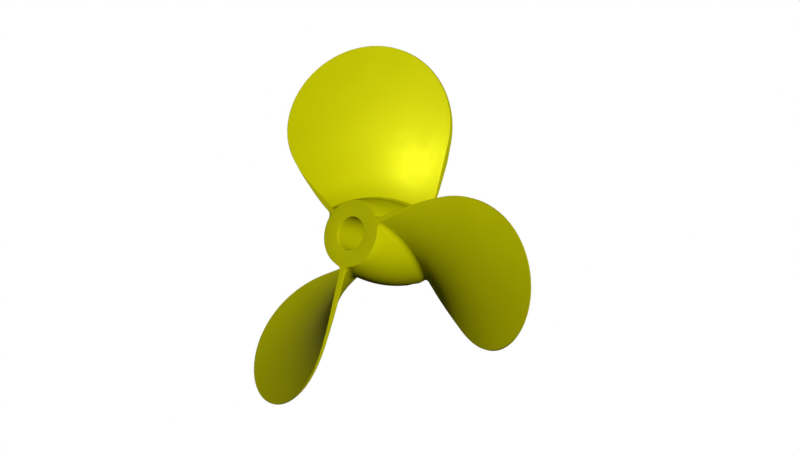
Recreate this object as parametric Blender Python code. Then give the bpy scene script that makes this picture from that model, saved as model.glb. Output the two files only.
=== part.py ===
"""Three-blade, right-hand boat propeller, 12 inch across and 15 inch pitch, for a 1 inch shaft.

A turned barrel hub carries three formed plate blades, cut out parallel to the shaft. Each blade
stands on the hub along a helical line and is held by two fillet welds, one on its aft face and
one on its forward face. Each weld runs on round the blade's near corner. Blades and welds are
faced off flush with both ends of the hub.

Frame: the shaft axis is Y and the origin is on it, halfway along the hub. The aft end, where
the shaft nut goes, faces -Y. The forward end, which takes the thrust and the drive pin, faces
+Y. +Z is up. Angles round the shaft are clockwise as seen from aft, from +Z towards +X.
"""
import math

import bmesh
import bpy
from mathutils import Vector

# Driving dimensions, in metres and degrees.
DIAMETER = 0.3048
PITCH = 0.381
BLADE_COUNT = 3
FIRST_BLADE_TURN = math.radians(-8.0)

HUB_LENGTH = 0.0762
HUB_END_DIAMETER = 0.0508
HUB_BELLY_DIAMETER = 0.0624
HUB_EDGE_CHAMFER = 0.0003
BORE_DIAMETER = 0.0254
BORE_CHAMFER = 0.0004

PIN_SLOT_WIDTH = 0.0070
PIN_SLOT_DEPTH = 0.0080
PIN_SLOT_DRAFT = math.radians(0.5)
PIN_SLOT_TURN = 0.0

BLADE_ROUND_RADIUS = 0.0611
BLANK_TILT = math.radians(34.7)
ROOT_HALF_LENGTH = 0.0410
ROOT_THICKNESS = 0.0046
TIP_THICKNESS = 0.0009
EDGE_HALF_WIDTH = 0.0406
EDGE_HEIGHT = 0.0253
EDGE_BLEND = 0.35

WELD_LEG = 0.0038
WELD_TOE = 0.0005
WELD_TURN = 0.006

GAP = 0.0003
MERGE = 0.00002

# Facets.
HUB_SEGMENTS = 64
HUB_RINGS = 12
BLADE_COLUMNS = 16
BLADE_ROWS = 18
WELD_STATIONS = 28
WELD_CORNER_STATIONS = 5
WELD_ARC_STEPS = 4

# Worked out from the driving dimensions.
TIP_RADIUS = DIAMETER / 2
LEAD = PITCH / (2 * math.pi)
HUB_HALF = HUB_LENGTH / 2
HUB_END_RADIUS = HUB_END_DIAMETER / 2
HUB_BELLY_RADIUS = HUB_BELLY_DIAMETER / 2
BORE_RADIUS = BORE_DIAMETER / 2
BLADE_ROUND_HEIGHT = TIP_RADIUS - BLADE_ROUND_RADIUS
ROOT_ANGLE = ROOT_HALF_LENGTH / LEAD

PAINT = (0.54, 0.54, 0.010, 1.0)
BLADE_PAINT = (0.54, 0.54, 0.010, 1.0)
WELD_PAINT = (0.52, 0.52, 0.010, 1.0)


def clear_scene():
    for item in list(bpy.data.objects):
        bpy.data.objects.remove(item, do_unlink=True)


def paint(name, colour, roughness):
    """Enamel over metal: a dielectric coat, so it isn't metallic."""
    material = bpy.data.materials.new(name)
    material.use_nodes = True
    shader = material.node_tree.nodes["Principled BSDF"]
    shader.inputs["Base Color"].default_value = colour
    shader.inputs["Roughness"].default_value = roughness
    shader.inputs["Metallic"].default_value = 0.0
    return material


def add_object(name, bm, material, sharp_angle=math.radians(32)):
    bmesh.ops.recalc_face_normals(bm, faces=bm.faces)
    mesh = bpy.data.meshes.new(name)
    bm.to_mesh(mesh)
    bm.free()
    mesh.materials.append(material)
    mesh.shade_smooth()
    mesh.set_sharp_from_angle(angle=sharp_angle)
    item = bpy.data.objects.new(name, mesh)
    bpy.context.scene.collection.objects.link(item)
    return item


# Hub -------------------------------------------------------------------------------------

def hub_radius(y):
    """The barrel's outer radius: a parabola from one end, over the belly, to the other."""
    swell = HUB_BELLY_RADIUS - HUB_END_RADIUS
    return HUB_BELLY_RADIUS - swell * (y / HUB_HALF) ** 2


def hub_profile():
    """Half section through the shaft axis, as (y, radius), aft end first, round to the bore."""
    barrel_half = HUB_HALF - HUB_EDGE_CHAMFER
    face_radius = HUB_END_RADIUS - HUB_EDGE_CHAMFER
    points = [(-HUB_HALF, face_radius)]
    for ring in range(HUB_RINGS + 1):
        y = barrel_half * (2 * ring / HUB_RINGS - 1)
        points.append((y, hub_radius(y)))
    points.append((HUB_HALF, face_radius))
    points.append((HUB_HALF, BORE_RADIUS + BORE_CHAMFER))
    points.append((HUB_HALF - BORE_CHAMFER, BORE_RADIUS))
    points.append((BORE_CHAMFER - HUB_HALF, BORE_RADIUS))
    points.append((-HUB_HALF, BORE_RADIUS + BORE_CHAMFER))
    return points


def pin_slot_cutter():
    """A bar laid across the forward face: what it removes is the drive pin's slot.

    Its sides lean out a little, as a cast or milled slot's do.
    """
    length = HUB_BELLY_DIAMETER * 1.2
    spread = 2 * PIN_SLOT_DEPTH * math.tan(PIN_SLOT_DRAFT)
    bm = bmesh.new()
    bmesh.ops.create_cube(bm, size=1.0)
    for vert in bm.verts:
        x, y, z = vert.co
        half_width = PIN_SLOT_WIDTH / 2 + (y + 0.5) * spread
        vert.co = (2 * x * half_width, 2 * y * PIN_SLOT_DEPTH, z * length)
    cutter = add_object("pin_slot_cutter", bm, paint("cutter_guide", PAINT, 0.5))
    cutter.location = (0, HUB_HALF, 0)
    cutter.rotation_euler = (0, PIN_SLOT_TURN, 0)
    cutter.hide_render = True
    cutter.display_type = "WIRE"
    return cutter


def build_hub():
    profile = hub_profile()
    bm = bmesh.new()
    rings = []
    for step in range(HUB_SEGMENTS):
        turn = 2 * math.pi * step / HUB_SEGMENTS
        spoke = [(r * math.sin(turn), y, r * math.cos(turn)) for y, r in profile]
        rings.append([bm.verts.new(point) for point in spoke])
    for step in range(HUB_SEGMENTS):
        here = rings[step]
        ahead = rings[(step + 1) % HUB_SEGMENTS]
        for i in range(len(profile)):
            j = (i + 1) % len(profile)
            bm.faces.new((here[i], here[j], ahead[j], ahead[i]))
    hub = add_object("hub", bm, paint("hub_enamel", PAINT, 0.42))
    slot = hub.modifiers.new("pin_slot", "BOOLEAN")
    slot.operation = "DIFFERENCE"
    slot.solver = "EXACT"
    slot.object = pin_slot_cutter()
    return hub


# Blade surface ---------------------------------------------------------------------------

def polar(angle, radius, y):
    return Vector((radius * math.sin(angle), y, radius * math.cos(angle)))


def thickness(radius):
    """Blade thickness, square to its face: an even taper from the root to the tip."""
    share = (radius - HUB_BELLY_RADIUS) / (TIP_RADIUS - HUB_BELLY_RADIUS)
    return ROOT_THICKNESS + (TIP_THICKNESS - ROOT_THICKNESS) * share


def half_along_shaft(radius):
    """Half the blade's thickness, measured along the shaft instead of square to its face."""
    return thickness(radius) / 2 * math.hypot(radius, LEAD) / radius


def trim_flush(bm):
    """Face off whatever stands past the hub's two ends, and close the cuts."""
    for end in (-1, 1):
        everything = bm.verts[:] + bm.edges[:] + bm.faces[:]
        cut = bmesh.ops.bisect_plane(
            bm, geom=everything, dist=MERGE, clear_outer=True,
            plane_co=(0, end * HUB_HALF, 0), plane_no=(0, end, 0))
        rim = [item for item in cut["geom_cut"] if isinstance(item, bmesh.types.BMEdge)]
        bmesh.ops.holes_fill(bm, edges=rim, sides=0)


# Blade outline, in the plane of its blank ---------------------------------------------------

def blank_root(share):
    """The outline along the hub, from the aft corner (0) to the forward corner (1)."""
    angle = ROOT_ANGLE * (2 * share - 1)
    radius = hub_radius(LEAD * angle) + GAP
    across = radius * math.sin(angle) * math.cos(BLANK_TILT)
    across += LEAD * angle * math.sin(BLANK_TILT)
    return Vector((across, radius * math.cos(angle)))


def blank_round(angle):
    """The outline's round part; the angle is measured from straight up."""
    across = BLADE_ROUND_RADIUS * math.sin(angle)
    return Vector((across, BLADE_ROUND_HEIGHT + BLADE_ROUND_RADIUS * math.cos(angle)))


def tangent_angle():
    """Where the straight edges leave the round part, measured from straight up."""
    fall = BLADE_ROUND_HEIGHT - EDGE_HEIGHT
    reach = math.hypot(EDGE_HALF_WIDTH, fall)
    return math.pi - math.atan2(EDGE_HALF_WIDTH, fall) - math.acos(BLADE_ROUND_RADIUS / reach)


def blank_edge(side, share):
    """One long edge: a short curve out of the root corner, a straight, then the round part."""
    corner = blank_root(0.5 + 0.5 * side)
    low = Vector((side * EDGE_HALF_WIDTH, EDGE_HEIGHT))
    tangent = side * tangent_angle()
    top = blank_round(tangent)
    blend_end = low.lerp(top, EDGE_BLEND)
    curve_length = (low - corner).length + (blend_end - low).length
    straight_length = (top - blend_end).length
    shoulder = side * math.pi / 4
    arc_length = BLADE_ROUND_RADIUS * abs(tangent - shoulder)
    distance = share * (curve_length + straight_length + arc_length)
    if distance < curve_length:
        part = distance / curve_length
        return corner.lerp(low, part).lerp(low.lerp(blend_end, part), part)
    distance -= curve_length
    if distance < straight_length:
        return blend_end.lerp(top, distance / straight_length)
    distance -= straight_length
    return blank_round(tangent + (shoulder - tangent) * distance / arc_length)


def blank_point(column, row):
    """A grid over the outline: each of its four sides blends into the opposite one."""
    bottom = blank_root(column)
    top = blank_round((column - 0.5) * math.pi / 2)
    aft = blank_edge(-1, row)
    fore = blank_edge(1, row)
    corners = blank_root(0).lerp(blank_root(1), column).lerp(
        blank_round(-math.pi / 4).lerp(blank_round(math.pi / 4), column), row)
    return bottom.lerp(top, row) + aft.lerp(fore, column) - corners


def on_helix(point):
    """The angle and radius at which a point of the flat blank meets the helical surface."""
    across, up = point
    angle = 0.0
    for _ in range(12):
        reach = up * math.tan(angle) * math.cos(BLANK_TILT)
        miss = reach + LEAD * angle * math.sin(BLANK_TILT) - across
        growth = up * math.cos(BLANK_TILT) / math.cos(angle) ** 2 + LEAD * math.sin(BLANK_TILT)
        angle -= miss / growth
    return angle, up / math.cos(angle)


def root_point(angle, side):
    """A point of one face's lower edge, just over the hub."""
    radius = HUB_BELLY_RADIUS
    for _ in range(4):
        y = LEAD * angle + side * half_along_shaft(radius)
        radius = hub_radius(y) + GAP
    return polar(angle, radius, y)


def blade_point(column, row, side):
    """Both faces share one outline as seen along the shaft: that is how the blade is cut."""
    if row == 0:
        return root_point(ROOT_ANGLE * (2 * column - 1), side)
    angle, radius = on_helix(blank_point(column, row))
    return polar(angle, radius, LEAD * angle + side * half_along_shaft(radius))


def blade_mesh():
    """Two helical faces, aft and forward, closed all round by the cut edge."""
    bm = bmesh.new()
    faces = []
    for side in (-1, 1):
        grid = []
        for row in range(BLADE_ROWS + 1):
            line = []
            for column in range(BLADE_COLUMNS + 1):
                share = column / BLADE_COLUMNS
                line.append(bm.verts.new(blade_point(share, row / BLADE_ROWS, side)))
            grid.append(line)
        for low, high in zip(grid, grid[1:]):
            for i in range(BLADE_COLUMNS):
                bm.faces.new((low[i], low[i + 1], high[i + 1], high[i]))
        around = grid[0] + [line[-1] for line in grid[1:]]
        around += grid[-1][-2::-1] + [line[0] for line in grid[-2:0:-1]]
        faces.append(around)
    aft, fore = faces
    for i in range(len(aft)):
        j = (i + 1) % len(aft)
        bm.faces.new((aft[i], aft[j], fore[j], fore[i]))
    trim_flush(bm)
    return bm


# Welds -----------------------------------------------------------------------------------

def weld_section():
    """A fillet's section as (out from the blade, up from the hub): flat legs, hollow face."""
    hollow = WELD_LEG - WELD_TOE
    points = [(0, 0), (WELD_LEG, 0)]
    for step in range(WELD_ARC_STEPS + 1):
        turn = math.pi / 2 * step / WELD_ARC_STEPS
        out = WELD_LEG - hollow * math.sin(turn)
        points.append((out, WELD_LEG - hollow * math.cos(turn)))
    points.append((0, WELD_LEG))
    return points


def weld_runs():
    """How far each section stands from the blade's near corner, along the weld.

    The first ones and the last ones are past the hub's ends, where the weld is faced off.
    """
    start = -(ROOT_HALF_LENGTH + HUB_HALF) * math.hypot(HUB_BELLY_RADIUS, LEAD) / LEAD
    end = HUB_HALF - ROOT_HALF_LENGTH + half_along_shaft(HUB_END_RADIUS) + WELD_TOE
    runs = [start * (1 - step / WELD_STATIONS) for step in range(WELD_STATIONS)]
    for step in range(WELD_CORNER_STATIONS + 1):
        runs.append(end * step / WELD_CORNER_STATIONS)
    return runs


def weld_point(run, out, up, side):
    """A point of a weld's section, `out` from the blade and `up` from the hub.

    Short of the corner (run < 0) the weld follows the blade's face. Past it, it has turned and
    follows the cut edge, straight along the shaft. The sums are for the aft weld: the forward
    one is the same weld turned end for end.
    """
    share = min(max(run / WELD_TURN + 0.5, 0), 1)
    facing = 1 - share * share * (3 - 2 * share)
    radius = HUB_BELLY_RADIUS
    for _ in range(4):
        angle = ROOT_ANGLE + min(run, 0) / math.hypot(HUB_BELLY_RADIUS, LEAD)
        along = facing * radius / math.hypot(radius, LEAD)
        y = LEAD * angle - half_along_shaft(radius) + max(run, 0) - along * out
        angle += math.sqrt(1 - along * along) * out / radius
        radius = hub_radius(y) + up
    return polar(-side * angle, radius, -side * y)


def weld_mesh(side):
    bm = bmesh.new()
    stations = []
    for run in weld_runs():
        ring = [weld_point(run, GAP + out, GAP + up, side) for out, up in weld_section()]
        stations.append([bm.verts.new(point) for point in ring])
    count = len(stations[0])
    for here, ahead in zip(stations, stations[1:]):
        for i in range(count):
            j = (i + 1) % count
            bm.faces.new((here[i], here[j], ahead[j], ahead[i]))
    bm.faces.new(stations[0])
    bm.faces.new(stations[-1])
    trim_flush(bm)
    return bm


# Assembly --------------------------------------------------------------------------------

def build_propeller():
    hub = build_hub()
    for number in range(1, BLADE_COUNT + 1):
        turn = FIRST_BLADE_TURN + 2 * math.pi * (number - 1) / BLADE_COUNT
        enamel = paint("blade_%d_enamel" % number, BLADE_PAINT, 0.38)
        pieces = [add_object("blade_%d" % number, blade_mesh(), enamel)]
        for side, place in ((-1, "aft"), (1, "fore")):
            name = "root_weld_%s_%d" % (place, number)
            enamel = paint(name + "_enamel", WELD_PAINT, 0.46)
            pieces.append(add_object(name, weld_mesh(side), enamel))
        for piece in pieces:
            piece.rotation_euler = (0, turn, 0)
            piece.parent = hub


clear_scene()
build_propeller()
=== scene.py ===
"""Looks for the three-blade boat propeller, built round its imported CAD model.

The frame is the CAD's: metres, the shaft along Y, the aft (nut) end at -Y, the forward end at +Y,
+Z up, and the origin on the shaft halfway along the hub. Angles round the shaft run clockwise as
seen from aft, from +Z towards +X.
"""
import math

import bmesh
import bpy
import numpy as np
from mathutils import Matrix, Vector


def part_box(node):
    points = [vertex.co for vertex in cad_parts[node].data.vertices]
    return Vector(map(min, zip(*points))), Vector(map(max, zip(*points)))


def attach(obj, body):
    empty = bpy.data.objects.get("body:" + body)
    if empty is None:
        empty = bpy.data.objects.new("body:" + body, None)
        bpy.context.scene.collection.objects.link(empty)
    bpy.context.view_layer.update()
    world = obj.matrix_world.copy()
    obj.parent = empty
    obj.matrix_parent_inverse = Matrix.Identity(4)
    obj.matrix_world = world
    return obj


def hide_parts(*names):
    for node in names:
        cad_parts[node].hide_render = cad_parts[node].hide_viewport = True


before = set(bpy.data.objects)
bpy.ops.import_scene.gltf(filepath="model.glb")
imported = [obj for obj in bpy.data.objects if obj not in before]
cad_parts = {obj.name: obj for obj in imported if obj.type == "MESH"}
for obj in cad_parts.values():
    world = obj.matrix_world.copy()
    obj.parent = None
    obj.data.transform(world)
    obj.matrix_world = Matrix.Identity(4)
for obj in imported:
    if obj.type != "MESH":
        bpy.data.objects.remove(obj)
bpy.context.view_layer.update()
HUB_LOW, HUB_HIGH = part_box("hub")

BODY = "root"

# The propeller's driving dimensions, in metres and radians.
BLADE_COUNT = 3
FIRST_BLADE_TURN = math.radians(-8.0)
TIP_RADIUS = 0.1524
PITCH = 0.381
LEAD = PITCH / (2 * math.pi)

HUB_HALF = (HUB_HIGH.y - HUB_LOW.y) / 2
HUB_BELLY_RADIUS = (HUB_HIGH.z - HUB_LOW.z) / 2
HUB_END_RADIUS = 0.0254
HUB_EDGE_ROUND = 0.00025
HUB_EDGE_SWELL = 0.0001
BORE_RADIUS = 0.0127
BORE_EDGE_ROUND = 0.0003

PIN_SLOT_WIDTH = 0.0070
PIN_SLOT_DEPTH = 0.0080
PIN_SLOT_CHAMFER = 0.0004
PIN_SLOT_FLOOR_CORNER = 0.0006
CUTTER_OVERRUN = 0.004

# The blade's outline is drawn flat, on a plane tilted out of square to the shaft: a round top
# on two long edges that narrow to the root.
BLADE_ROUND_RADIUS = 0.0611
BLADE_ROUND_HEIGHT = TIP_RADIUS - BLADE_ROUND_RADIUS
SHOULDER_ANGLE = math.pi / 4
BLANK_TILT = math.radians(34.7)
ROOT_HALF_LENGTH = 0.0410
ROOT_ANGLE = ROOT_HALF_LENGTH / LEAD
ROOT_THICKNESS = 0.0046
TIP_THICKNESS = 0.0009
EDGE_HALF_WIDTH = 0.0406
EDGE_HEIGHT = 0.0253
EDGE_BLEND = 0.35
EDGE_SOFTENING = 0.00018

# Each weld bead ripples in two waves, given as the height (a share of the leg), the length per
# radian, and a factor for the phase. Roots and beads are buried a little way in what they meet,
# and a bead's thin edges run out just below the surface.
WELD_LEG = 0.0040
WELD_TURN = 0.006
WELD_RIPPLES = ((0.025, 0.0094, 1), (0.02, 0.0041, 2))
BURIED = 0.0007
FEATHER = 0.00004

# Wear and painted shade: how far they spread, and how much painted shade lies where. The
# corner at the root of the blade that stands up gets the darkest painted shade.
RIM_REACH = 0.0030
SHADE_REACH = 0.020
CORNER_REACH = 0.020
BARREL_PAINTED_SHADE = 0.27
BORE_PAINTED_SHADE = 0.38
BORE_SHADE_DEPTH = 0.003
BLADE_PAINTED_SHADE = 0.36
WELD_PAINTED_SHADE = 0.75
ROOT_PAINTED_SHADE = (1.0, 0.28, 0.28)

# Mesh density, how steep an edge has to be to stay sharp, and how often a fit is repeated.
HUB_SEGMENTS = 224
HUB_RINGS = 44
BORE_RINGS = 24
CORNER_STEPS = 6
BLADE_COLUMNS = 72
BLADE_ROWS = 84
WELD_STATIONS = 130
WELD_CORNER_STATIONS = 14
WELD_ARC_STEPS = 12
HUB_SHARP_ANGLE = math.radians(35)
WELD_SHARP_ANGLE = math.radians(38)
RADIUS_FITS = 4
ANGLE_FITS = 14

# Colours, as linear light.
ENAMEL = (0.314, 0.314, 0.0003)
ENAMEL_DEEP = (0.299, 0.299, 0.0002)
# painted shade: the dark colour laid in the corners, at the blade roots and in the bore
ENAMEL_PAINTED_SHADE = (0.120, 0.120, 0.0002)
ENAMEL_WORN = (0.300, 0.298, 0.0020)
# a darker band along the edges: partly worn paint, partly painted shade of the edge line
ENAMEL_EDGE_WEAR_AND_SHADE = (0.240, 0.238, 0.0010)
PRIMER = (0.235, 0.225, 0.040)
HIGHLIGHT_TINT = (1.0, 0.99, 0.045, 1.0)

# How fine each part of the enamel's look is, in cells of noise to a metre.
FORMING_CELLS = 26.0
MOTTLE_CELLS = 16.0
BRUSHING_CELLS = 38.0
RUBBING_CELLS = 70.0
GRAIN_CELLS = 150.0
CHIP_CELLS = 420.0
PEEL_CELLS = 620.0
TURNING_CELLS = 900.0

# How deep each part of the surface's relief is, in metres.
FORMING_DEPTH = 0.0006
PEEL_DEPTH = 0.00004
CHIP_DEPTH = 0.00006
TURNING_DEPTH = 0.00003

# How much each state of the paint changes its roughness.
BRUSHING_ROUGHNESS = (-0.045, 0.055)
PAINTED_SHADE_ROUGHNESS = 0.05
RUBBED_ROUGHNESS = -0.05
CHIP_ROUGHNESS = 0.2


# Shapes ----------------------------------------------------------------------------------

def hub_radius(y):
    """The barrel's outer radius: a parabola from one end, over the belly, to the other."""
    return HUB_BELLY_RADIUS - (HUB_BELLY_RADIUS - HUB_END_RADIUS) * (y / HUB_HALF) ** 2


def polar(angle, radius, y):
    """Points at these angles and radii round the shaft, and at y along it."""
    return np.stack([radius * np.sin(angle), y + 0 * radius, radius * np.cos(angle)], axis=-1)


def helical_normal(angle, radius, side):
    """Unit normals of a blade face; the taper in thickness leans them slightly outward."""
    slope = np.arctan2(LEAD, radius)
    taper = (ROOT_THICKNESS - TIP_THICKNESS) / (TIP_RADIUS - HUB_BELLY_RADIUS) / 2
    across = np.stack([-np.cos(angle), 0 * angle, np.sin(angle)], axis=-1)
    square = across * np.sin(slope)[..., None]
    square[..., 1] = np.cos(slope)
    outward = np.stack([np.sin(angle), 0 * angle, np.cos(angle)], axis=-1)
    normal = side * square + taper * outward
    return normal / np.linalg.norm(normal, axis=-1, keepdims=True)


def thickness(radius):
    """Blade thickness, square to its face: an even taper from the root to the tip."""
    out = (radius - HUB_BELLY_RADIUS) / (TIP_RADIUS - HUB_BELLY_RADIUS)
    return ROOT_THICKNESS + (TIP_THICKNESS - ROOT_THICKNESS) * out


def half_along_shaft(radius):
    """Half the blade's thickness, measured along the shaft instead of square to its face."""
    return thickness(radius) / 2 * np.hypot(radius, LEAD) / radius


def root_line(angle, side):
    """One face's lower edge, sunk a little way into the hub."""
    radius = HUB_BELLY_RADIUS
    for _ in range(RADIUS_FITS):
        y = LEAD * angle + side * half_along_shaft(radius)
        radius = hub_radius(y) - BURIED
    return polar(angle, radius, y)


def blank_root(share):
    """The flat outline along the hub, from the aft corner (0) to the forward corner (1)."""
    angle = ROOT_ANGLE * (2 * share - 1)
    radius = hub_radius(LEAD * angle) - BURIED
    across = radius * math.sin(angle) * math.cos(BLANK_TILT) + LEAD * angle * math.sin(BLANK_TILT)
    return Vector((across, radius * math.cos(angle)))


def blank_round(angle):
    """The outline's round part; the angle is measured from straight up."""
    across = BLADE_ROUND_RADIUS * math.sin(angle)
    return Vector((across, BLADE_ROUND_HEIGHT + BLADE_ROUND_RADIUS * math.cos(angle)))


def tangent_angle():
    """Where the straight edges leave the round part, measured from straight up."""
    fall = BLADE_ROUND_HEIGHT - EDGE_HEIGHT
    reach = math.hypot(EDGE_HALF_WIDTH, fall)
    return math.pi - math.atan2(EDGE_HALF_WIDTH, fall) - math.acos(BLADE_ROUND_RADIUS / reach)


def blank_edge(side, share):
    """One long edge: a short curve out of the root corner, a straight, then the round part."""
    corner = blank_root(0.5 + 0.5 * side)
    low = Vector((side * EDGE_HALF_WIDTH, EDGE_HEIGHT))
    tangent = side * tangent_angle()
    top = blank_round(tangent)
    blend_end = low.lerp(top, EDGE_BLEND)
    shoulder = side * SHOULDER_ANGLE
    curve_length = (low - corner).length + (blend_end - low).length
    straight_length = (top - blend_end).length
    arc_length = BLADE_ROUND_RADIUS * abs(tangent - shoulder)
    distance = share * (curve_length + straight_length + arc_length)
    if distance < curve_length:
        part = distance / curve_length
        return corner.lerp(low, part).lerp(low.lerp(blend_end, part), part)
    distance -= curve_length
    if distance < straight_length:
        return blend_end.lerp(top, distance / straight_length)
    distance -= straight_length
    return blank_round(tangent + (shoulder - tangent) * distance / arc_length)


def blank_grid():
    """A grid over the outline, as (row, column, 2): each side blends into the opposite one."""
    columns = [c / BLADE_COLUMNS for c in range(BLADE_COLUMNS + 1)]
    rows = [r / BLADE_ROWS for r in range(BLADE_ROWS + 1)]
    bottom = np.array([blank_root(c) for c in columns])[None]
    top = np.array([blank_round(SHOULDER_ANGLE * (2 * c - 1)) for c in columns])[None]
    aft = np.array([blank_edge(-1, r) for r in rows])[:, None]
    fore = np.array([blank_edge(1, r) for r in rows])[:, None]
    across = np.array(columns)[None, :, None]
    up = np.array(rows)[:, None, None]
    corners = bottom[:, :1] * (1 - across) + bottom[:, -1:] * across
    corners = corners * (1 - up) + (top[:, :1] * (1 - across) + top[:, -1:] * across) * up
    return bottom * (1 - up) + top * up + aft * (1 - across) + fore * across - corners


def on_helix(blank):
    """The angle and radius at which points of the flat outline meet the helical surface."""
    across, up = blank[..., 0], blank[..., 1]
    angle = np.zeros_like(across)
    across_share, along_share = math.cos(BLANK_TILT), math.sin(BLANK_TILT)
    for _ in range(ANGLE_FITS):
        miss = up * np.tan(angle) * across_share + LEAD * angle * along_share - across
        growth = up * across_share / np.cos(angle) ** 2 + LEAD * along_share
        angle = angle - miss / growth
    return angle, up / np.cos(angle)


# Mesh helpers ----------------------------------------------------------------------------

NORMAL_LAYERS = ("normal_x", "normal_y", "normal_z")


def flush_mesh(name, points, faces, layers):
    """A mesh with its per-point layers, faced off flush with the two ends of the hub."""
    bm = bmesh.new()
    for label in layers:
        bm.verts.layers.float.new(label)
    verts = [bm.verts.new(point) for point in points]
    for label, values in layers.items():
        layer = bm.verts.layers.float[label]
        for vert, value in zip(verts, values):
            vert[layer] = value
    for face in faces:
        bm.faces.new([verts[i] for i in face])
    for end in (-1, 1):
        everything = bm.verts[:] + bm.edges[:] + bm.faces[:]
        cut = bmesh.ops.bisect_plane(
            bm, geom=everything, dist=FEATHER / 4, clear_outer=True,
            plane_co=(0, end * HUB_HALF, 0), plane_no=(0, end, 0))
        rim = [item for item in cut["geom_cut"] if isinstance(item, bmesh.types.BMEdge)]
        bmesh.ops.holes_fill(bm, edges=rim, sides=0)
    bmesh.ops.recalc_face_normals(bm, faces=bm.faces)
    mesh = bpy.data.meshes.new(name)
    bm.to_mesh(mesh)
    bm.free()
    mesh.shade_smooth()
    return mesh


def use_given_normals(mesh):
    """Shade with the normals in the mesh's layers, except on the faced-off ends."""
    given = np.empty((3, len(mesh.vertices)), dtype=np.float32)
    for row, label in zip(given, NORMAL_LAYERS):
        mesh.attributes[label].data.foreach_get("value", row)
    given = given.T / np.linalg.norm(given, axis=0)[:, None]
    corners = np.empty((len(mesh.loops), 3), dtype=np.float32)
    for face in mesh.polygons:
        faced_off = abs(face.normal.y) > 0.9999 and abs(abs(face.center.y) - HUB_HALF) < FEATHER
        for loop in face.loop_indices:
            corners[loop] = face.normal if faced_off else given[mesh.loops[loop].vertex_index]
    mesh.normals_split_custom_set([tuple(normal) for normal in corners])
    for label in NORMAL_LAYERS:
        mesh.attributes.remove(mesh.attributes[label])


def add_piece(name, mesh, material, node, turn=0.0):
    """One visible piece that stands for a CAD node, turned round the shaft into its place."""
    mesh.name = name
    mesh.transform(Matrix.Rotation(turn, 4, "Y"))
    mesh.materials.append(material)
    piece = bpy.data.objects.new(name, mesh)
    bpy.context.scene.collection.objects.link(piece)
    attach(piece, BODY)
    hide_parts(node)
    return piece


def closest(points, line):
    """Distance of each point from the nearest point of a dense line."""
    best = np.full(len(points), np.inf)
    for start in range(0, len(line), 64):
        gap = points[:, None] - line[None, start:start + 64]
        best = np.minimum(best, np.sqrt((gap ** 2).sum(-1)).min(1))
    return best


# Blades ----------------------------------------------------------------------------------

def blade_edge_path():
    """Grid places along the cut edge: up the aft side, over the top, down the forward side."""
    path = [(row, 0) for row in range(BLADE_ROWS)]
    path += [(BLADE_ROWS, column) for column in range(BLADE_COLUMNS)]
    path += [(row, BLADE_COLUMNS) for row in range(BLADE_ROWS, -1, -1)]
    return path


def blade_arrises(angle, radius, rows, columns):
    """Both arrises of the cut edge, with the directions that soften them.

    The blade is cut parallel to the shaft, so the edge faces square to it. Each arris comes with
    the way out along its face, and the edge's own outward normal.
    """
    around, reach = angle[rows, columns], radius[rows, columns]
    plan = polar(around, reach, 0 * reach)
    travel = np.gradient(plan, axis=0)
    edge_normal = np.stack([-travel[:, 2], 0 * reach, travel[:, 0]], axis=-1)
    edge_normal /= np.linalg.norm(edge_normal, axis=1, keepdims=True)
    if np.sum(edge_normal * (plan - plan.mean(axis=0))) < 0:
        edge_normal = -edge_normal
    arrises = {}
    for side in (-1, 1):
        line = polar(around, reach, LEAD * around + side * half_along_shaft(reach))
        face_normal = helical_normal(around, reach, side)
        out = np.cross(np.gradient(line, axis=0), face_normal)
        out *= np.sign(np.sum(out * edge_normal, axis=1, keepdims=True))
        arrises[side] = (line, out / np.linalg.norm(out, axis=1, keepdims=True))
    return arrises, edge_normal


def grid_faces(grid):
    """Four-sided faces over a grid of point numbers."""
    return [(grid[r, c], grid[r, c + 1], grid[r + 1, c + 1], grid[r + 1, c])
            for r in range(grid.shape[0] - 1) for c in range(grid.shape[1] - 1)]


def build_blade_data():
    """Points, faces and point layers of a blade standing at +Z."""
    angle, radius = on_helix(blank_grid())
    path = blade_edge_path()
    rows, columns = (np.array(places) for places in zip(*path))
    arrises, edge_normal = blade_arrises(angle, radius, rows, columns)
    points, normals, faces, rings = [], [], [], []
    count = 0
    for side in (-1, 1):
        line, out = arrises[side]
        face = polar(angle, radius, LEAD * angle + side * half_along_shaft(radius))
        face[rows, columns] = line - out * EDGE_SOFTENING
        face[0] = [root_line(turn, side) for turn in angle[0]]
        grid = np.arange(radius.size).reshape(radius.shape) + count
        count += radius.size
        edge_ring = np.arange(len(path)) + count
        count += len(path)
        points += [face.reshape(-1, 3), line - np.array((0, side * EDGE_SOFTENING, 0))]
        normals += [helical_normal(angle, radius, side).reshape(-1, 3), edge_normal]
        faces += grid_faces(grid)
        rings.append((grid, grid[rows, columns], edge_ring))
    (aft, aft_arris, aft_edge), (fore, fore_arris, fore_edge) = rings
    loops = (aft_arris, aft_edge, fore_edge, fore_arris)
    for low, high in zip(loops, loops[1:]):
        faces += grid_faces(np.stack([low, high]))
    faces += grid_faces(np.stack([aft[0], fore[0]]))
    for end in (0, -1):
        faces.append([loop[end] for loop in loops])
    points = np.concatenate(points)
    normals = np.concatenate(normals)
    height = np.hypot(points[:, 0], points[:, 2]) - hub_radius(points[:, 1])
    to_arris = np.minimum(closest(points, arrises[-1][0]), closest(points, arrises[1][0]))
    layers = dict(zip(NORMAL_LAYERS, normals.T))
    layers["rim"] = np.clip(1 - to_arris / RIM_REACH, 0, 1)
    # painted shade on the blade, darkest at the hub and fading outward
    layers["painted_shade"] = BLADE_PAINTED_SHADE * np.clip(1 - height / SHADE_REACH, 0, 1)
    return points, [[int(i) for i in face] for face in faces], layers


# Hub -------------------------------------------------------------------------------------

def corner_arc(y, radius, size, start):
    """A rounded corner of the hub's section; `start` is the angle at which the arc begins."""
    turns = [start - math.pi / 2 * step / CORNER_STEPS for step in range(CORNER_STEPS + 1)]
    return [(y + size * math.cos(t), radius + size * math.sin(t)) for t in turns]


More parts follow.
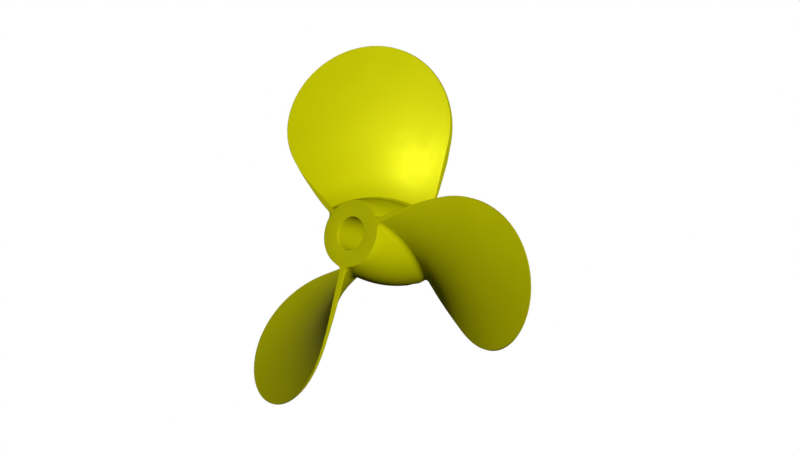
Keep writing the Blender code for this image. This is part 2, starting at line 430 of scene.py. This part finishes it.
def hub_section():
    """The hub's half section as (y, radius): aft face, barrel, forward face, bore.

    The barrel has already swelled a little where the rounding of its end's edge starts.
    """
    face = HUB_HALF - HUB_EDGE_ROUND
    shoulder = HUB_END_RADIUS - HUB_EDGE_ROUND + HUB_EDGE_SWELL
    mouth = HUB_HALF - BORE_EDGE_ROUND
    throat = BORE_RADIUS + BORE_EDGE_ROUND
    section = corner_arc(-face, shoulder, HUB_EDGE_ROUND, math.pi)
    for ring in range(1, HUB_RINGS):
        y = face * (2 * ring / HUB_RINGS - 1)
        section.append((y, hub_radius(y)))
    section += corner_arc(face, shoulder, HUB_EDGE_ROUND, math.pi / 2)
    section += corner_arc(mouth, throat, BORE_EDGE_ROUND, 0)
    for ring in range(1, BORE_RINGS):
        section.append((mouth * math.cos(math.pi * ring / BORE_RINGS), BORE_RADIUS))
    section += corner_arc(-mouth, throat, BORE_EDGE_ROUND, -math.pi / 2)
    return section


def hub_painted_shade(turn, y, radius):
    """Painted shade on the hub: all through the bore, over the barrel, and thickest along the
    roots of the blades.
    """
    depth = HUB_HALF - abs(y)
    if radius < HUB_END_RADIUS - RIM_REACH:
        # painted shade all through the bore
        return BORE_PAINTED_SHADE * min(1.0, depth / BORE_SHADE_DEPTH)
    # painted shade over the barrel, fading out towards its ends
    shade_level = BARREL_PAINTED_SHADE * min(1.0, depth / (2 * RIM_REACH))
    if radius < HUB_END_RADIUS:
        return shade_level
    square = LEAD / math.hypot(radius, LEAD)
    # painted shade in the corners along the blade roots
    for number in range(BLADE_COUNT):
        root = FIRST_BLADE_TURN + 2 * math.pi * number / BLADE_COUNT + y / LEAD
        apart = abs(math.remainder(turn - root, 2 * math.pi)) * radius * square
        nearness = 1 - (apart - WELD_LEG - ROOT_THICKNESS / 2) / CORNER_REACH
        shade_level = max(shade_level, ROOT_PAINTED_SHADE[number] * min(max(nearness, 0.0), 1.0))
    return shade_level


def pin_slot_cutter():
    """The bar that cuts the drive pin's slot: small floor corners, and a chamfered mouth."""
    half = PIN_SLOT_WIDTH / 2
    mouth = half + PIN_SLOT_CHAMFER
    floor = HUB_HALF - PIN_SLOT_DEPTH
    profile = [
        (mouth + CUTTER_OVERRUN, HUB_HALF + CUTTER_OVERRUN),
        (mouth, HUB_HALF),
        (half, HUB_HALF - PIN_SLOT_CHAMFER),
        (half, floor + PIN_SLOT_FLOOR_CORNER),
        (half - PIN_SLOT_FLOOR_CORNER, floor),
    ]
    outline = [(-x, y) for x, y in profile] + profile[::-1]
    bm = bmesh.new()
    reach = HUB_BELLY_RADIUS + 2 * CUTTER_OVERRUN
    low = [bm.verts.new((x, y, -reach)) for x, y in outline]
    high = [bm.verts.new((x, y, reach)) for x, y in outline]
    bm.faces.new(low)
    bm.faces.new(high)
    for i in range(len(outline)):
        j = (i + 1) % len(outline)
        bm.faces.new((low[i], low[j], high[j], high[i]))
    bmesh.ops.recalc_face_normals(bm, faces=bm.faces)
    mesh = bpy.data.meshes.new("pin_slot_cutter")
    bm.to_mesh(mesh)
    bm.free()
    cutter = bpy.data.objects.new("pin_slot_cutter", mesh)
    bpy.context.scene.collection.objects.link(cutter)
    return cutter


def turned_mesh(section):
    """The hub's section turned round the shaft, with layers for worn corners and painted shade.
    """
    bm = bmesh.new()
    for label in ("painted_shade", "rim"):
        bm.verts.layers.float.new(label)
    painted_shade = bm.verts.layers.float["painted_shade"]
    rim = bm.verts.layers.float["rim"]
    spokes = []
    for step in range(HUB_SEGMENTS):
        turn = 2 * math.pi * step / HUB_SEGMENTS
        spoke = []
        for y, radius in section:
            vert = bm.verts.new((radius * math.sin(turn), y, radius * math.cos(turn)))
            across = min(abs(radius - HUB_END_RADIUS), abs(radius - BORE_RADIUS))
            vert[rim] = max(0.0, 1 - math.hypot(HUB_HALF - abs(y), across) / RIM_REACH)
            vert[painted_shade] = hub_painted_shade(turn, y, radius)
            spoke.append(vert)
        spokes.append(spoke)
    for here, ahead in zip(spokes, spokes[1:] + spokes[:1]):
        for i in range(len(section)):
            j = (i + 1) % len(section)
            bm.faces.new((here[i], here[j], ahead[j], ahead[i]))
    bmesh.ops.recalc_face_normals(bm, faces=bm.faces)
    mesh = bpy.data.meshes.new("turned_hub")
    bm.to_mesh(mesh)
    bm.free()
    return mesh


def build_hub(material):
    """The barrel hub: a turned piece with the drive pin's slot cut across its forward face."""
    blank = bpy.data.objects.new("hub_blank", turned_mesh(hub_section()))
    bpy.context.scene.collection.objects.link(blank)
    cutter = pin_slot_cutter()
    cut = blank.modifiers.new("pin_slot", "BOOLEAN")
    cut.operation = "DIFFERENCE"
    cut.solver = "EXACT"
    cut.object = cutter
    bpy.context.view_layer.update()
    shaped = blank.evaluated_get(bpy.context.evaluated_depsgraph_get())
    mesh = bpy.data.meshes.new_from_object(shaped)
    for helper in (blank, cutter):
        bpy.data.objects.remove(helper, do_unlink=True)
    mesh.shade_smooth()
    mesh.set_sharp_from_angle(angle=HUB_SHARP_ANGLE)
    add_piece("hub_body", mesh, material, "hub")


# Welds -----------------------------------------------------------------------------------

def weld_section(leg):
    """A fillet as (out from the blade, up from the hub); its hidden corner is buried."""
    sweep = leg + FEATHER
    section = [(-BURIED, -BURIED), (leg, -BURIED)]
    for step in range(WELD_ARC_STEPS + 1):
        turn = math.pi / 2 * step / WELD_ARC_STEPS
        section.append((leg - sweep * math.sin(turn), leg - sweep * math.cos(turn)))
    section.append((-BURIED, leg))
    return section


def weld_leg(run, phase):
    """The fillet's leg, which is slightly uneven along the run, as laid by hand."""
    sway = sum(height * math.sin(run / length + factor * phase)
               for height, length, factor in WELD_RIPPLES)
    return WELD_LEG * (1 + sway)


def weld_runs():
    """How far each section stands from the blade's near corner, along the weld.

    The first ones and the last ones are past the hub's ends, where the weld is faced off.
    """
    start = -(ROOT_HALF_LENGTH + HUB_HALF) * math.hypot(HUB_BELLY_RADIUS, LEAD) / LEAD
    end = HUB_HALF - ROOT_HALF_LENGTH + half_along_shaft(HUB_END_RADIUS) + BURIED
    runs = [start * (1 - step / WELD_STATIONS) for step in range(WELD_STATIONS)]
    runs += [end * step / WELD_CORNER_STATIONS for step in range(WELD_CORNER_STATIONS + 1)]
    return runs


def weld_point(run, out, up, side):
    """A point of a weld's section, `out` from the blade and `up` from the hub.

    Short of the corner (run < 0) the weld follows the blade's face. Past it, it has turned and
    follows the cut edge, straight along the shaft. The sums are for the aft weld: the forward
    one is the same weld turned end for end.
    """
    share = min(max(run / WELD_TURN + 0.5, 0), 1)
    facing = 1 - share * share * (3 - 2 * share)
    radius = HUB_BELLY_RADIUS
    for _ in range(RADIUS_FITS):
        angle = ROOT_ANGLE + min(run, 0) / math.hypot(HUB_BELLY_RADIUS, LEAD)
        along = facing * radius / math.hypot(radius, LEAD)
        y = LEAD * angle - half_along_shaft(radius) + max(run, 0) - along * out
        angle += math.sqrt(1 - along * along) * out / radius
        radius = hub_radius(y) + up
    return radius * math.sin(-side * angle), -side * y, radius * math.cos(-side * angle)


def build_weld(name, node, side, turn, material, phase, shade_level):
    """One bead along a blade's root, on its aft side (-1) or its forward side (1)."""
    points = []
    runs = weld_runs()
    for run in runs:
        section = weld_section(weld_leg(run, phase))
        points += [weld_point(run, out, up, side) for out, up in section]
    count = len(section)
    faces = [tuple(range(count)), tuple(range(len(points) - count, len(points)))]
    for station in range(len(runs) - 1):
        here, ahead = station * count, (station + 1) * count
        for i in range(count):
            j = (i + 1) % count
            faces.append((here + i, here + j, ahead + j, ahead + i))
    # the bead is darkened evenly with painted shade, more at the darkest root
    layers = {"painted_shade": [WELD_PAINTED_SHADE * shade_level] * len(points), "rim": [0.0] * len(points)}
    mesh = flush_mesh(name, points, faces, layers)
    mesh.set_sharp_from_angle(angle=WELD_SHARP_ANGLE)
    add_piece(name, mesh, material, node, turn)


# Materials -------------------------------------------------------------------------------

class Graph:
    """Small helper for building a material's nodes.

    A value is a number, a colour or another node's output. `noise` is measured in cells to a
    metre, and `span` carries one range of a value over to another.
    """

    def __init__(self, name):
        self.material = bpy.data.materials.new(name)
        self.material.use_nodes = True
        self.tree = self.material.node_tree
        self.shader = self.tree.nodes["Principled BSDF"]
        self.place = self.add("ShaderNodeTexCoord").outputs["Object"]

    def add(self, kind, inputs=None, **settings):
        node = self.tree.nodes.new(kind)
        for key, value in settings.items():
            setattr(node, key, value)
        for key, value in (inputs or {}).items():
            self.feed(value, node.inputs[key])
        return node

    def feed(self, value, socket):
        if isinstance(value, bpy.types.NodeSocket):
            self.tree.links.new(value, socket)
        else:
            socket.default_value = value

    def noise(self, scale, detail=3.0, roughness=0.5, vector=None):
        inputs = {"Scale": scale, "Detail": detail, "Roughness": roughness,
                  "Vector": vector or self.place}
        return self.add("ShaderNodeTexNoise", inputs).outputs["Fac"]

    def span(self, value, low, high, to_low=0.0, to_high=1.0, smooth=True):
        kind = "SMOOTHSTEP" if smooth else "LINEAR"
        inputs = {"Value": value, "From Min": low, "From Max": high,
                  "To Min": to_low, "To Max": to_high}
        return self.add("ShaderNodeMapRange", inputs, interpolation_type=kind).outputs["Result"]

    def math(self, operation, first, second=0.0):
        node = self.add("ShaderNodeMath", operation=operation)
        self.feed(first, node.inputs[0])
        self.feed(second, node.inputs[1])
        return node.outputs[0]

    def mix(self, share, first, second):
        node = self.add("ShaderNodeMix", data_type="RGBA")
        self.feed(share, node.inputs["Factor"])
        self.feed(first, node.inputs["A"])
        self.feed(second, node.inputs["B"])
        return node.outputs["Result"]

    def attribute(self, name):
        return self.add("ShaderNodeAttribute", attribute_name=name).outputs["Fac"]

    def bump(self, height, distance, strength, below=None):
        inputs = {"Height": height, "Distance": distance, "Strength": strength}
        node = self.add("ShaderNodeBump", inputs)
        if below is not None:
            self.feed(below, node.inputs["Normal"])
        return node.outputs["Normal"]


def solid(colour):
    """A colour with no transparency."""
    return (*colour, 1.0)


def enamel_colour(g, grain, painted_shade, rim, rubbed, chip, wear):
    """Mottled paint, with painted shade in the corners, rubbed thin on the edges with a band of
    painted edge shade there, and chipped to primer.
    """
    mottle = g.span(g.noise(MOTTLE_CELLS, detail=2.0), 0.3, 0.72)
    colour = g.mix(mottle, solid(ENAMEL), solid(ENAMEL_DEEP))
    colour = g.mix(g.span(grain, 0.42, 0.8, 0.0, 0.22), colour, solid(ENAMEL_DEEP))
    # painted shade in the corners, at the roots and in the bore
    colour = g.mix(painted_shade, colour, solid(ENAMEL_PAINTED_SHADE))
    colour = g.mix(rubbed, colour, solid(ENAMEL_WORN))
    # darker band along the edges: partly wear, partly painted shade of the edge line
    band = g.span(rim, 0.80, 0.97)
    colour = g.mix(g.math("MULTIPLY", band, wear), colour, solid(ENAMEL_EDGE_WEAR_AND_SHADE))
    return g.mix(g.math("MULTIPLY", chip, 0.6), colour, solid(PRIMER))


def enamel_roughness(g, gloss, painted_shade, rubbed, chip):
    """Brush marks change the gloss a little; the painted-shade corners and bare primer dull it.
    """
    smoother, rougher = (gloss + change for change in BRUSHING_ROUGHNESS)
    brushing = g.noise(BRUSHING_CELLS, detail=5.0, roughness=0.6)
    rough = g.span(brushing, 0.25, 0.75, smoother, rougher)
    rough = g.math("ADD", rough, g.math("MULTIPLY", painted_shade, PAINTED_SHADE_ROUGHNESS))
    rough = g.math("ADD", rough, g.math("MULTIPLY", rubbed, RUBBED_ROUGHNESS))
    return g.math("ADD", rough, g.math("MULTIPLY", chip, CHIP_ROUGHNESS))


def enamel_relief(g, chip):
    """Orange peel over the slight unevenness of the formed metal, with the chips let in."""
    peel = g.bump(g.noise(PEEL_CELLS, detail=1.5), PEEL_DEPTH, 0.35)
    formed = g.bump(g.noise(FORMING_CELLS, detail=2.0), FORMING_DEPTH, 0.12, peel)
    return g.bump(g.math("MULTIPLY", chip, -1.0), CHIP_DEPTH, 0.8, formed)


def turning_marks(g, below):
    """Faint rings from the lathe, showing through the paint of the hub."""
    parts = g.add("ShaderNodeSeparateXYZ", {"Vector": g.place}).outputs
    squares = [g.math("MULTIPLY", parts[axis], parts[axis]) for axis in ("X", "Z")]
    radius = g.math("SQRT", g.math("ADD", *squares))
    vector = g.add("ShaderNodeCombineXYZ", {"X": radius, "Y": parts["Y"]}).outputs["Vector"]
    return g.bump(g.noise(TURNING_CELLS, detail=2.0, vector=vector), TURNING_DEPTH, 0.35, below)


def enamel(name, gloss, shine, wear, turned=False):
    """Brushed-on yellow enamel, which follows its mesh's layers.

    `rim` marks the edges, where it is rubbed and chipped, and the other layer the dull corners,
    where shade is painted.
    """
    g = Graph(name)
    grain = g.noise(GRAIN_CELLS, detail=4.0, roughness=0.6)
    painted_shade = g.math("MULTIPLY", g.attribute("painted_shade"), g.span(grain, 0.2, 0.8, 0.8, 1.0))
    rim = g.attribute("rim")
    rubbing = g.span(g.noise(RUBBING_CELLS, detail=5.0), 0.38, 0.62, 0.15, wear)
    rubbed = g.math("MULTIPLY", rim, rubbing)
    chip = g.span(g.noise(CHIP_CELLS, detail=3.0, roughness=0.65), 0.68, 0.72)
    chip = g.math("MULTIPLY", chip, g.span(rim, 0.55, 0.9))
    relief = enamel_relief(g, chip)
    if turned:
        relief = turning_marks(g, relief)
    inputs = g.shader.inputs
    g.feed(enamel_colour(g, grain, painted_shade, rim, rubbed, chip, wear), inputs["Base Color"])
    g.feed(enamel_roughness(g, gloss, painted_shade, rubbed, chip), inputs["Roughness"])
    dulled = g.span(painted_shade, 0.0, 0.7, shine, shine / 5, smooth=False)
    g.feed(dulled, inputs["Specular IOR Level"])
    g.feed(HIGHLIGHT_TINT, inputs["Specular Tint"])
    g.feed(relief, inputs["Normal"])
    return g.material


# Studio ----------------------------------------------------------------------------------

# The camera and the floor, in metres and radians.
VIEW_AZIMUTH = math.radians(39.0)
VIEW_ELEVATION = math.radians(-12.6)
VIEW_OFFSET = 0.0127
VIEW_WIDTH = 0.5935
VIEW_DISTANCE = 0.45
FLOOR_Z = -0.300
FLOOR_RADIUS = 2.6

# Where the lights stand, as shares of the camera's right, up and back directions.
KEY_PLACE = (0.231, 0.169, 0.958)
SHEEN_PLACE = (0.155, 0.103, 0.983)
BACK_PLACE = (0, 0, -1)
LEFT_FILL_PLACE = (-0.35, 0.2, -0.9)
RIGHT_FILL_PLACE = (0.35, 0.2, -0.9)

# How bright the lights are and how wide they look. White is the brightness 1.
KEY_LEVEL = 2.005
SHEEN_LEVEL = 1.68
BACK_LEVEL = 1.2
FILL_LEVEL = 0.3
KEY_SPREAD = math.radians(4)
BACK_SPREAD = math.radians(6)
FILL_SPREAD = math.radians(30)
AMBIENT = (0.028, 0.028, 0.028, 1)
WHITE = (1, 1, 1, 1)
FLOOR_PAPER = (0.86, 0.86, 0.855, 1)
FLOOR_PAPER_PALE = (0.89, 0.89, 0.885, 1)
FLOOR_GLOW = 0.55


def view_axes():
    """The camera's right, up and back directions."""
    east, north = math.cos(VIEW_AZIMUTH), math.sin(VIEW_AZIMUTH)
    level = math.cos(VIEW_ELEVATION)
    back = Vector((north * level, -east * level, math.sin(VIEW_ELEVATION)))
    right = Vector((east, north, 0))
    return right, back.cross(right), back


def add_camera():
    """A parallel-view camera: the photograph shows no perspective that can be measured.

    It is aimed a little to the right of the shaft's middle and a little above it.
    """
    right, up, back = view_axes()
    camera = bpy.data.objects.new("camera", bpy.data.cameras.new("camera"))
    camera.data.type = "ORTHO"
    camera.data.ortho_scale = VIEW_WIDTH
    camera.data.clip_start = 0.01
    camera.location = (right + up) * VIEW_OFFSET + back * VIEW_DISTANCE
    camera.rotation_euler = Matrix((right, up, back)).transposed().to_euler()
    bpy.context.scene.collection.objects.link(camera)
    bpy.context.scene.camera = camera


def add_far_light(name, place, level, spread, shadows=True, diffuse=True, glossy=True):
    """A light far enough away to count as parallel.

    `level` is how bright a white surface facing it looks, and `spread` how wide it is.
    """
    right, up, back = view_axes()
    towards = right * place[0] + up * place[1] + back * place[2]
    lamp = bpy.data.lights.new(name, "SUN")
    lamp.energy = level * math.pi
    lamp.angle = spread
    lamp.use_shadow = shadows
    light = bpy.data.objects.new(name, lamp)
    light.rotation_euler = towards.to_track_quat("Z", "Y").to_euler()
    light.location = towards.normalized()
    light.visible_diffuse = diffuse
    light.visible_glossy = glossy
    bpy.context.scene.collection.objects.link(light)


def add_lights():
    """A key beside the camera and its sheen, neither with shadows, and lights from behind.

    The key only shades and the sheen only shines, so that each could be placed on its own.
    """
    add_far_light("key_light", KEY_PLACE, KEY_LEVEL, KEY_SPREAD, shadows=False, glossy=False)
    add_far_light("key_sheen", SHEEN_PLACE, SHEEN_LEVEL, KEY_SPREAD, shadows=False, diffuse=False)
    add_far_light("back_light", BACK_PLACE, BACK_LEVEL, BACK_SPREAD, glossy=False)
    add_far_light("left_fill", LEFT_FILL_PLACE, FILL_LEVEL, FILL_SPREAD, glossy=False)
    add_far_light("right_fill", RIGHT_FILL_PLACE, FILL_LEVEL, FILL_SPREAD, glossy=False)


def add_surroundings():
    """White behind the propeller, and a trace of light on it from all round."""
    world = bpy.data.worlds.new("studio")
    bpy.context.scene.world = world
    world.use_nodes = True
    tree = world.node_tree
    paper = tree.nodes["Background"]
    paper.inputs["Color"].default_value = AMBIENT
    seen = tree.nodes.new("ShaderNodeBackground")
    seen.inputs["Color"].default_value = WHITE
    path = tree.nodes.new("ShaderNodeLightPath")
    mix = tree.nodes.new("ShaderNodeMixShader")
    tree.links.new(path.outputs["Is Diffuse Ray"], paper.inputs["Strength"])
    tree.links.new(path.outputs["Is Camera Ray"], mix.inputs["Fac"])
    tree.links.new(paper.outputs[0], mix.inputs[1])
    tree.links.new(seen.outputs[0], mix.inputs[2])
    tree.links.new(mix.outputs[0], tree.nodes["World Output"].inputs["Surface"])


def add_floor():
    """A plain pale floor below the propeller; it adds no coloured bounce to the object."""
    bm = bmesh.new()
    bmesh.ops.create_circle(bm, cap_ends=True, segments=96, radius=FLOOR_RADIUS)
    mesh = bpy.data.meshes.new("floor")
    bm.to_mesh(mesh)
    bm.free()
    floor = bpy.data.objects.new("floor", mesh)
    floor.location.z = FLOOR_Z
    g = Graph("floor_paper")
    g.feed(g.mix(g.noise(3.0), FLOOR_PAPER, FLOOR_PAPER_PALE), g.shader.inputs["Base Color"])
    g.feed(0.9, g.shader.inputs["Roughness"])
    g.feed(WHITE, g.shader.inputs["Emission Color"])
    g.feed(FLOOR_GLOW, g.shader.inputs["Emission Strength"])
    mesh.materials.append(g.material)
    floor.visible_diffuse = False
    floor.visible_glossy = False
    bpy.context.scene.collection.objects.link(floor)


# Assembly --------------------------------------------------------------------------------

def build_propeller():
    """The hub, and each blade with the weld beads along its root."""
    hub_paint = enamel("hub_enamel_paint", gloss=0.72, shine=0.25, wear=0.55, turned=True)
    blade_paint = enamel("blade_enamel_paint", gloss=0.51, shine=1.0, wear=0.7)
    weld_paint = enamel("weld_enamel_paint", gloss=0.60, shine=0.5, wear=0.3)
    build_hub(hub_paint)
    points, faces, layers = build_blade_data()
    for number in range(1, BLADE_COUNT + 1):
        turn = FIRST_BLADE_TURN + 2 * math.pi * (number - 1) / BLADE_COUNT
        name = "blade_%d_skin" % number
        # how much painted shade this blade's root corner gets
        shade_level = ROOT_PAINTED_SHADE[number - 1]
        mesh = flush_mesh(name, points, faces, dict(layers, painted_shade=shade_level * layers["painted_shade"]))
        use_given_normals(mesh)
        add_piece(name, mesh, blade_paint, "blade_%d" % number, turn)
        for side, place in ((-1, "aft"), (1, "fore")):
            node = "root_weld_%s_%d" % (place, number)
            build_weld(node + "_bead", node, side, turn, weld_paint, number + 0.5 * side, shade_level)


build_propeller()
add_camera()
add_lights()
add_surroundings()
add_floor()
bpy.context.scene.view_settings.view_transform = "Standard"
